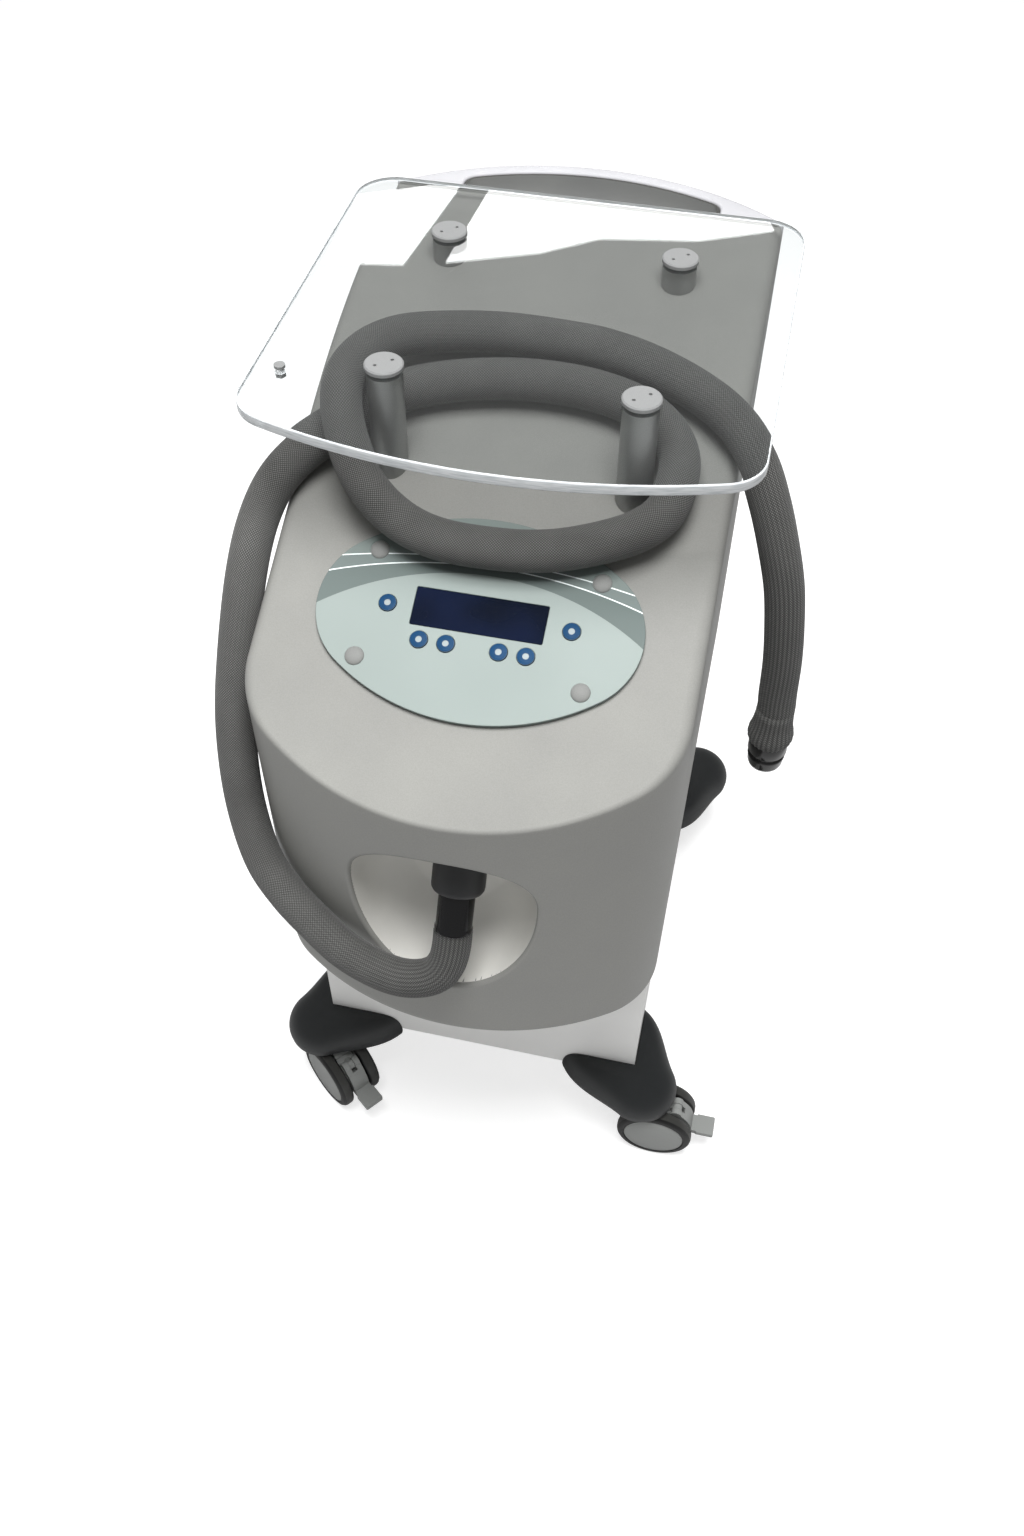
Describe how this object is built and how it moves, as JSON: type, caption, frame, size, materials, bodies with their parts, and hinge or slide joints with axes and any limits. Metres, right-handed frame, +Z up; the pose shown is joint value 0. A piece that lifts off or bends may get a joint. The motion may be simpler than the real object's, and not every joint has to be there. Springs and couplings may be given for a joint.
{
  "type": "cold air therapy machine",
  "caption": "Cold-air therapy cart on twin-wheel casters, with a sloped hood and key panel, a clear tray on posts, a rear handle and a sleeved hose that lies looped round the posts.",
  "frame": {"origin": "on the ground, at the middle of the cart's box in X and Y, the hose and its end pieces left out", "axes": "+Z up, -Y towards the nose and the user, +X to the user's right"},
  "size_m": [0.487, 0.6206, 0.7897],
  "materials": {
    "white_paint": "powder coat, satin white",
    "steel_sheet": "plain sheet",
    "hood_coat": "fine metallic grey lacquer on a moulded hood",
    "socket_grey": "moulded, fine texture",
    "duct_plastic": "moulded",
    "plate_gloss": "glossy, printed from behind in pale aqua",
    "display_dark": "dark window, glossy",
    "post_steel": "turned and brushed",
    "board_green": "circuit board",
    "key_blue": "blue ring, pale middle",
    "tray_clear": "clear cast sheet, polished edges",
    "handle_paint": "light grey moulding",
    "bumper_black": "near black, satin",
    "caster_grey": "moulded nylon, mid grey",
    "tyre_rubber": "black rubber",
    "compressor_paint": "black paint",
    "foam_grey": "insulated box",
    "supply_case": "case, light grey",
    "copper_pipe": "bare copper pipe",
    "inlet_black": "moulded, black",
    "hose_sleeve": "braided grey sleeve with fine blue flecks over a hose",
    "cuff_black": "moulded, black, satin"
  },
  "bodies": {
    "cart": {"base_frame": "white_paint", "front_panel": "white_paint", "side_panels": "white_paint", "rear_panel": "white_paint", "inner_shelf": "steel_sheet", "condenser": "steel_sheet", "hood": "hood_coat", "bay_liner": "hood_coat", "hose_socket": "socket_grey", "handle_grip": "socket_grey", "air_duct": "duct_plastic", "blower_housing": "duct_plastic", "control_plate": "plate_gloss", "display_window": "display_dark", "plate_screws": "post_steel", "front_posts": "post_steel", "rear_posts": "post_steel", "post_caps": "post_steel", "tray_stud": "post_steel", "control_board": "board_green", "tray": "tray_clear", "handle_frame": "handle_paint", "bumper_fl": "bumper_black", "bumper_fr": "bumper_black", "bumper_rl": "bumper_black", "bumper_rr": "bumper_black", "compressor": "compressor_paint", "fan_motor": "compressor_paint", "evaporator": "foam_grey", "power_supply": "supply_case", "refrigerant_lines": "copper_pipe", "mains_inlet": "inlet_black", "hose": "hose_sleeve", "hose_cuff": "cuff_black", "hose_end": "cuff_black"},
    "power_button": {"button_power": "key_blue"},
    "start_button": {"button_start": "key_blue"},
    "key_1_cap": {"key_1": "key_blue"},
    "key_2_cap": {"key_2": "key_blue"},
    "key_3_cap": {"key_3": "key_blue"},
    "key_4_cap": {"key_4": "key_blue"},
    "fan_rotor": {"condenser_fan": "socket_grey"},
    "blower_rotor": {"blower_wheel": "socket_grey"},
    "mains_rocker": {"power_rocker": "inlet_black"},
    "fl_fork": {"caster_fl_body": "caster_grey"},
    "fl_wheels": {"caster_fl_hubs": "caster_grey", "caster_fl_tyres": "tyre_rubber"},
    "fl_pedal": {"caster_fl_pedal": "caster_grey"},
    "fr_fork": {"caster_fr_body": "caster_grey"},
    "fr_wheels": {"caster_fr_hubs": "caster_grey", "caster_fr_tyres": "tyre_rubber"},
    "fr_pedal": {"caster_fr_pedal": "caster_grey"},
    "rl_fork": {"caster_rl_body": "caster_grey"},
    "rl_wheels": {"caster_rl_hubs": "caster_grey", "caster_rl_tyres": "tyre_rubber"},
    "rl_pedal": {"caster_rl_pedal": "caster_grey"},
    "rr_fork": {"caster_rr_body": "caster_grey"},
    "rr_wheels": {"caster_rr_hubs": "caster_grey", "caster_rr_tyres": "tyre_rubber"},
    "rr_pedal": {"caster_rr_pedal": "caster_grey"}
  },
  "joints": [
    {"name": "power_button_press", "type": "slide", "parent": "cart", "child": "power_button", "axis": [0, 0.4226, -0.9063], "range_m": [0, 0.0008], "stiffness_N_per_m": 400, "springref_m": -0.0015},
    {"name": "start_button_press", "type": "slide", "parent": "cart", "child": "start_button", "axis": [0, 0.4226, -0.9063], "range_m": [0, 0.0008], "stiffness_N_per_m": 400, "springref_m": -0.0015},
    {"name": "key_1_cap_press", "type": "slide", "parent": "cart", "child": "key_1_cap", "axis": [0, 0.4226, -0.9063], "range_m": [0, 0.0008], "stiffness_N_per_m": 400, "springref_m": -0.0015},
    {"name": "key_2_cap_press", "type": "slide", "parent": "cart", "child": "key_2_cap", "axis": [0, 0.4226, -0.9063], "range_m": [0, 0.0008], "stiffness_N_per_m": 400, "springref_m": -0.0015},
    {"name": "key_3_cap_press", "type": "slide", "parent": "cart", "child": "key_3_cap", "axis": [0, 0.4226, -0.9063], "range_m": [0, 0.0008], "stiffness_N_per_m": 400, "springref_m": -0.0015},
    {"name": "key_4_cap_press", "type": "slide", "parent": "cart", "child": "key_4_cap", "axis": [0, 0.4226, -0.9063], "range_m": [0, 0.0008], "stiffness_N_per_m": 400, "springref_m": -0.0015},
    {"name": "fan_spin", "type": "hinge", "parent": "cart", "child": "fan_rotor", "pos_m": [0, 0.172, 0.22], "axis": [0, 1, 0], "continuous": true},
    {"name": "blower_spin", "type": "hinge", "parent": "cart", "child": "blower_rotor", "pos_m": [0.008, -0.071, 0.5166], "axis": [1, 0, 0], "continuous": true},
    {"name": "mains_rocker_tip", "type": "hinge", "parent": "cart", "child": "mains_rocker", "pos_m": [-0.07, 0.211, 0.138], "axis": [1, 0, 0], "range_deg": [0, 24]},
    {"name": "fl_swivel", "type": "hinge", "parent": "cart", "child": "fl_fork", "pos_m": [-0.162, -0.194, 0.07], "axis": [0, 0, 1], "continuous": true},
    {"name": "fl_roll", "type": "hinge", "parent": "fl_fork", "child": "fl_wheels", "pos_m": [-0.14388, -0.20816, 0.0375], "axis": [0.6157, 0.788, 0], "continuous": true},
    {"name": "fl_pedal_lift", "type": "hinge", "parent": "fl_fork", "child": "fl_pedal", "pos_m": [-0.12933, -0.21952, 0.06486], "axis": [-0.6157, -0.788, 0], "range_deg": [0, 18]},
    {"name": "fr_swivel", "type": "hinge", "parent": "cart", "child": "fr_fork", "pos_m": [0.162, -0.194, 0.07], "axis": [0, 0, 1], "continuous": true},
    {"name": "fr_roll", "type": "hinge", "parent": "fr_fork", "child": "fr_wheels", "pos_m": [0.185, -0.194, 0.0375], "axis": [0, 1, 0], "continuous": true},
    {"name": "fr_pedal_lift", "type": "hinge", "parent": "fr_fork", "child": "fr_pedal", "pos_m": [0.20345, -0.194, 0.06486], "axis": [0, -1, 0], "range_deg": [0, 18]},
    {"name": "rl_swivel", "type": "hinge", "parent": "cart", "child": "rl_fork", "pos_m": [-0.162, 0.227, 0.07], "axis": [0, 0, 1], "continuous": true},
    {"name": "rl_roll", "type": "hinge", "parent": "rl_fork", "child": "rl_wheels", "pos_m": [-0.185, 0.227, 0.0375], "axis": [0, -1, 0], "continuous": true},
    {"name": "rl_pedal_lift", "type": "hinge", "parent": "rl_fork", "child": "rl_pedal", "pos_m": [-0.20345, 0.227, 0.06486], "axis": [0, 1, 0], "range_deg": [0, 18]},
    {"name": "rr_swivel", "type": "hinge", "parent": "cart", "child": "rr_fork", "pos_m": [0.162, 0.227, 0.07], "axis": [0, 0, 1], "continuous": true},
    {"name": "rr_roll", "type": "hinge", "parent": "rr_fork", "child": "rr_wheels", "pos_m": [0.139, 0.227, 0.0375], "axis": [0, -1, 0], "continuous": true},
    {"name": "rr_pedal_lift", "type": "hinge", "parent": "rr_fork", "child": "rr_pedal", "pos_m": [0.12055, 0.227, 0.06486], "axis": [0, 1, 0], "range_deg": [0, 18]}
  ]
}
